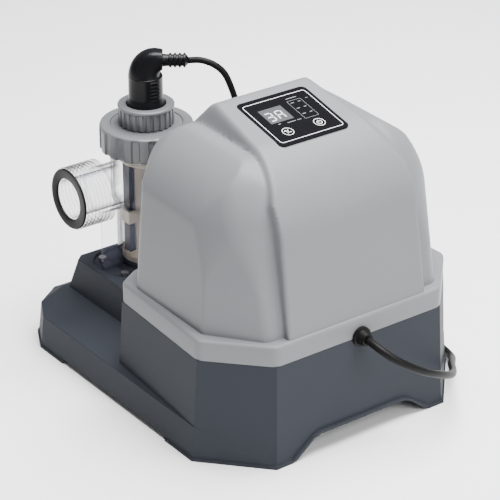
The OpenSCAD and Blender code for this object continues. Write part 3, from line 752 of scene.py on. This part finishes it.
def elbow(rows=18, count=48):
    """At angle b round the bend the section runs from inner to outer radius with a half
    width, all eased from the round barrel to the lead's end, and squares up as it goes:
    cos a and sin a are raised to a falling power. Both ends close on a pole."""
    b = np.linspace(0, np.pi / 2, rows)
    b = np.concatenate([b[:1], b, b[-1:]])[:, None]
    shut = np.array([0] + [1] * rows + [0])[:, None]
    f = b / (np.pi / 2)
    a = np.arange(count)[None] * 2 * np.pi / count
    power = 1 - 0.38 * np.sin(np.pi / 2 * f)
    c, w = [np.sign(v) * np.abs(v) ** power * shut for v in (np.cos(a), np.sin(a))]
    inner, outer = 0.5 + 8.5 * f, 36.8 - 8.2 * f + 2.2 * np.sin(2 * b)
    half_width = 18 - 7.5 * f
    pivot, barrel_top = 18.5, 292
    r = (inner + outer) / 2 + (outer - inner) / 2 * c
    points = beside_plug(pivot - r * np.cos(b), half_width * w, barrel_top + r * np.sin(b))
    return points, grid_faces(rows + 2, count, close_cols=True)


def strain_relief(count=32):
    """A (radius, distance) profile with four ribs, turned about the lead's axis."""
    rib = ((6.3, 0), (7.7, 0.4), (7.7, 2.6), (6.3, 3))
    ribs = [(r, 25 + 5 * i + d) for i in range(4) for r, d in rib]
    lead_z = 310
    p = np.array([(0, 16), (7.6, 16), (6.6, 20)] + ribs + [(5.4, 44), (4.4, 45), (0, 45)])
    a = np.arange(count)[None] * 2 * np.pi / count
    r, along = p[:, 0][:, None], p[:, 1][:, None] + 0 * a
    return (beside_plug(along, r * np.cos(a), lead_z + r * np.sin(a)),
            grid_faces(len(p), count, close_cols=True))


def grip_ribs(turn):
    """Six short ribs on the barrel, centred at an angle from the lead's direction."""
    count, pitch = 6, 4.0
    z = 269 + pitch * np.arange(count)[:, None, None]
    box = np.array([(16.6, -5.5, 0), (16.6, 5.5, 0), (16.6, 5.5, 1.8), (16.6, -5.5, 1.8),
                    (19.5, -4.6, 0.4), (19.5, 4.6, 0.4), (19.5, 4.6, 1.4), (19.5, -4.6, 1.4)])[None]
    u, v = box[..., :1], box[..., 1:2]
    along = u * math.cos(turn) - v * math.sin(turn)
    across = u * math.sin(turn) + v * math.cos(turn)
    points = beside_plug((along + 0 * z)[..., 0], (across + 0 * z)[..., 0], (box[..., 2:] + z)[..., 0])
    return points, prism_faces(count)


barrel = [(16, 255.5), (24.4, 255.5), (24.4, 258.4), (20.6, 258.9), (20.6, 262.4), (18.7, 268.2),
          (18.3, 270), (18.2, 293), (0.2, 293), (0.2, 271), (16, 271)]
rib_turn = math.radians(54)
plug_parts = [turned(barrel), elbow(), strain_relief(), grip_ribs(-rib_turn), grip_ribs(rib_turn)]
plug_body = piece("elbow_plug", *merged(plug_parts), plug_black)
turn_outwards(plug_body)
crisp(plug_body, 40)
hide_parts("cell_plug")
for node in ("cord_tie", "mains_plug", "key_switches", "rectifier", "fuse_holder"):
    paint(node, plug_black)
for node in ("mains_gland", "cell_gland", "plug_seal", "head_seal"):
    paint(node, rubber)

# ---------- Inside and fasteners ----------
# Two green boards, a varnished transformer with a copper coil, an aluminium heat sink
# and the small parts round them, held by steel screws.


def metal(name, colour, rough, scratch):
    """Bare metal with fine directional scratches and a drift in gloss."""
    made, shader, wire = new_finish(name)
    shader.inputs["Metallic"].default_value = 1.0
    place = wire.node("TexCoord", out=3)
    stretched = wire.node("Mapping", {}, {"Vector": place, "Scale": (scratch, 30.0, 30.0)})
    streak = noise(wire, stretched, 20.0)
    dull, bright = tuple(c * 0.9 for c in colour) + (1,), tuple(colour) + (1,)
    join(wire, streak.step(0.3, 0.7).blend(dull, bright), shader, "Base Color")
    join(wire, rough - 0.08 + 0.16 * streak, shader, "Roughness")
    return made


screw_steel = metal("screw_steel", (0.55, 0.55, 0.56), 0.32, 400.0)
for node in ("cover_screws", "board_screws", "cell_screws", "terminal_studs"):
    paint(node, screw_steel)
paint("heat_sink", metal("mill_aluminium", (0.62, 0.63, 0.65), 0.38, 300.0))
paint("transformer_coil", metal("enamelled_copper", (0.45, 0.17, 0.05), 0.35, 900.0))
paint("transformer_core", moulded("varnished_core", (0.05, 0.05, 0.055), 0.35, 0.00008, 2000.0, 0.1))
board_green = moulded("board_green", (0.02, 0.13, 0.05), 0.3, 0.00003, 700.0, 0.15)
paint("display_board", board_green)
paint("control_board", board_green)
paint("panel_ribbon", moulded("ribbon_grey", (0.5, 0.5, 0.47), 0.5, 0.00005, 900.0, 0.04))
